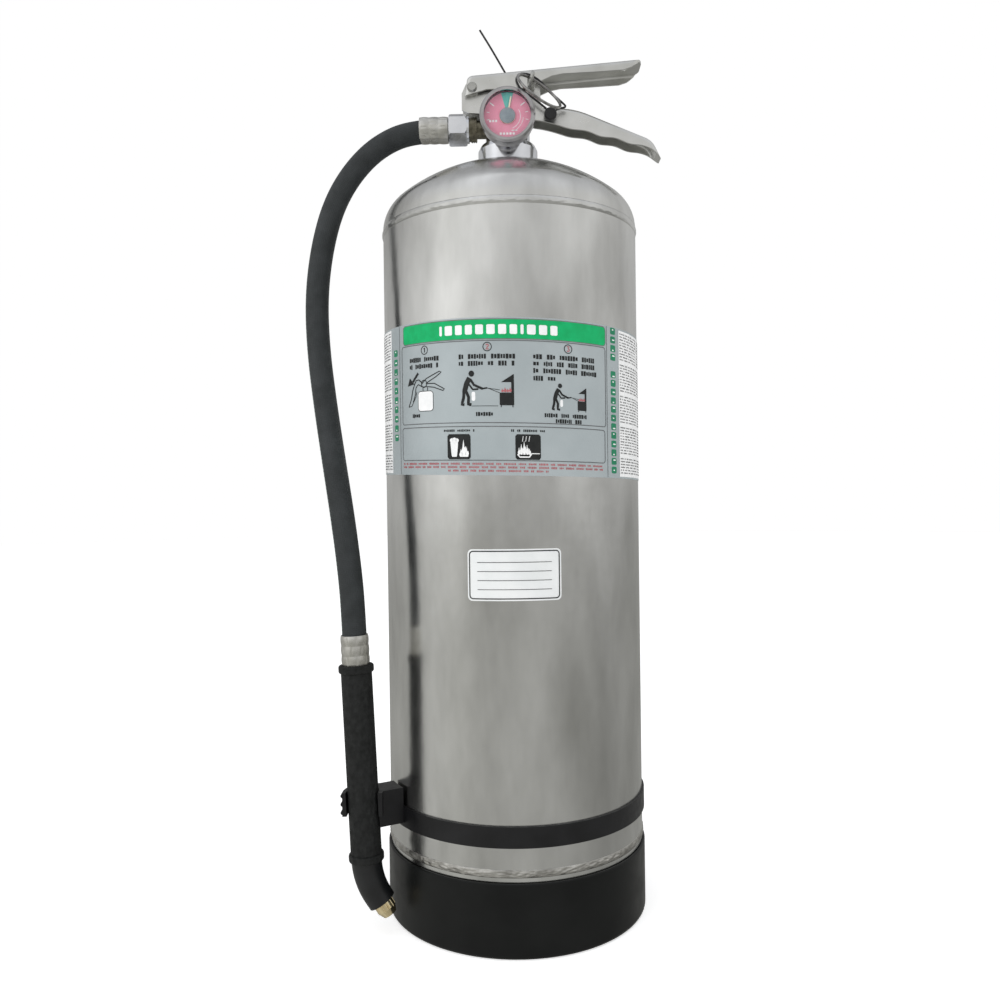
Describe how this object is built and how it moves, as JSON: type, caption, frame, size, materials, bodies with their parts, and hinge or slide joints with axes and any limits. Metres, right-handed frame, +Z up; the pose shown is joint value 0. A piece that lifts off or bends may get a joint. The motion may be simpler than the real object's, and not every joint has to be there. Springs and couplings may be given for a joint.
{
  "type": "fire extinguisher",
  "caption": "Tall stainless-steel stored-pressure fire extinguisher with a hose and nozzle wand, a squeeze lever, a pull pin with ring, a round gauge and a black base boot.",
  "frame": {"origin": "middle of the boot's flat bottom face, on the floor", "axes": "+Z up along the cylinder, -Y the front with the gauge and label, +X towards the tips of the handle and lever; the hose hangs on the -X side"},
  "size_m": [0.2505, 0.181, 0.6254],
  "materials": {
    "shell_steel": "polished and lightly brushed",
    "weld_steel": "dull weld metal",
    "stamped_steel": "tumbled satin",
    "crimped_steel": "crimped, satin",
    "zinc_steel": "bright plated",
    "chromed_brass": "bright plated",
    "bare_brass": "machined",
    "boot_plastic": "moulded, faint sheen",
    "strap_plastic": "moulded, satin",
    "wand_plastic": "moulded, semi-gloss",
    "siphon_plastic": "extruded",
    "nylon": "moulded",
    "seal_plastic": "moulded",
    "hose_rubber": "cloth-marked rubber",
    "grip_rubber": "textured",
    "seal_rubber": "smooth",
    "label_film": "silver film",
    "sticker_film": "white film",
    "dial_print": "printed",
    "needle_paint": "painted",
    "clear_lens": "clear"
  },
  "bodies": {
    "cylinder": {"base_boot": "boot_plastic", "cylinder_shell": "shell_steel", "top_dome": "shell_steel", "bottom_head": "shell_steel", "lower_weld_bead": "weld_steel", "upper_weld_bead": "weld_steel", "neck_ring": "weld_steel", "instruction_label": "label_film", "service_sticker": "sticker_film", "hose_strap": "strap_plastic", "nozzle_clip": "strap_plastic", "clip_screws": "zinc_steel", "valve_body": "chromed_brass", "neck_o_ring": "seal_rubber", "stem_spring": "zinc_steel", "spring_seat": "bare_brass", "siphon_coupling": "bare_brass", "siphon_tube": "siphon_plastic", "carry_handle": "stamped_steel", "handle_rivets": "zinc_steel", "lever_rivet": "zinc_steel", "lever_washers": "nylon", "tamper_seal_head": "seal_plastic", "tamper_seal_strand": "seal_plastic", "tamper_seal_tail": "seal_plastic", "gauge_case": "chromed_brass", "gauge_bezel": "chromed_brass", "gauge_lens": "clear_lens", "gauge_dial": "dial_print", "gauge_socket": "chromed_brass", "bourdon_tube": "bare_brass", "gauge_movement": "bare_brass", "outlet_nipple": "bare_brass", "hose_swivel_nut": "chromed_brass", "hose_gasket": "seal_rubber", "hose_tail": "bare_brass", "upper_ferrule": "crimped_steel", "hose": "hose_rubber"},
    "lever": {"discharge_lever": "stamped_steel"},
    "stem": {"valve_stem": "bare_brass", "stem_seal": "seal_rubber", "stem_o_ring": "seal_rubber"},
    "pin": {"pull_pin": "zinc_steel"},
    "ring": {"pull_ring": "zinc_steel"},
    "needle": {"gauge_needle": "needle_paint"},
    "wand": {"lower_ferrule": "crimped_steel", "wand_grip": "grip_rubber", "wand_tube": "boot_plastic", "wand_elbow": "wand_plastic", "nozzle_tip": "bare_brass", "spray_disc": "bare_brass"}
  },
  "joints": [
    {"name": "lever_squeeze", "type": "hinge", "parent": "cylinder", "child": "lever", "pos_m": [-0.0245, 0, 0.5725], "axis": [0, 1, 0], "range_deg": [0, 7]},
    {"name": "stem_press", "type": "slide", "parent": "cylinder", "child": "stem", "axis": [0, 0, -1], "range_m": [0, 0.0031], "stiffness_N_per_m": 3000, "springref_m": -0.006, "deforming": ["stem_spring"]},
    {"name": "pin_pull", "type": "slide", "parent": "cylinder", "child": "pin", "axis": [0, -1, 0], "range_m": [0, 0.04], "deforming": ["tamper_seal_strand"]},
    {"name": "ring_swing", "type": "hinge", "parent": "pin", "child": "ring", "pos_m": [0.017, -0.0234, 0.5724], "axis": [-0.792, -0.585, 0.175], "range_deg": [0, 35]},
    {"name": "needle_turn", "type": "hinge", "parent": "cylinder", "child": "needle", "pos_m": [0, -0.0317, 0.544], "axis": [0, 1, 0], "range_deg": [-110, 60], "stiffness_Nm_per_rad": 0.0005},
    {"name": "wand_pull", "type": "slide", "parent": "cylinder", "child": "wand", "axis": [0, -1, 0], "range_m": [0, 0.06], "deforming": ["hose"]}
  ],
  "couplings": [
    {"joint": "stem_press", "follows": "lever_squeeze", "m_per_rad": 0.02497}
  ]
}
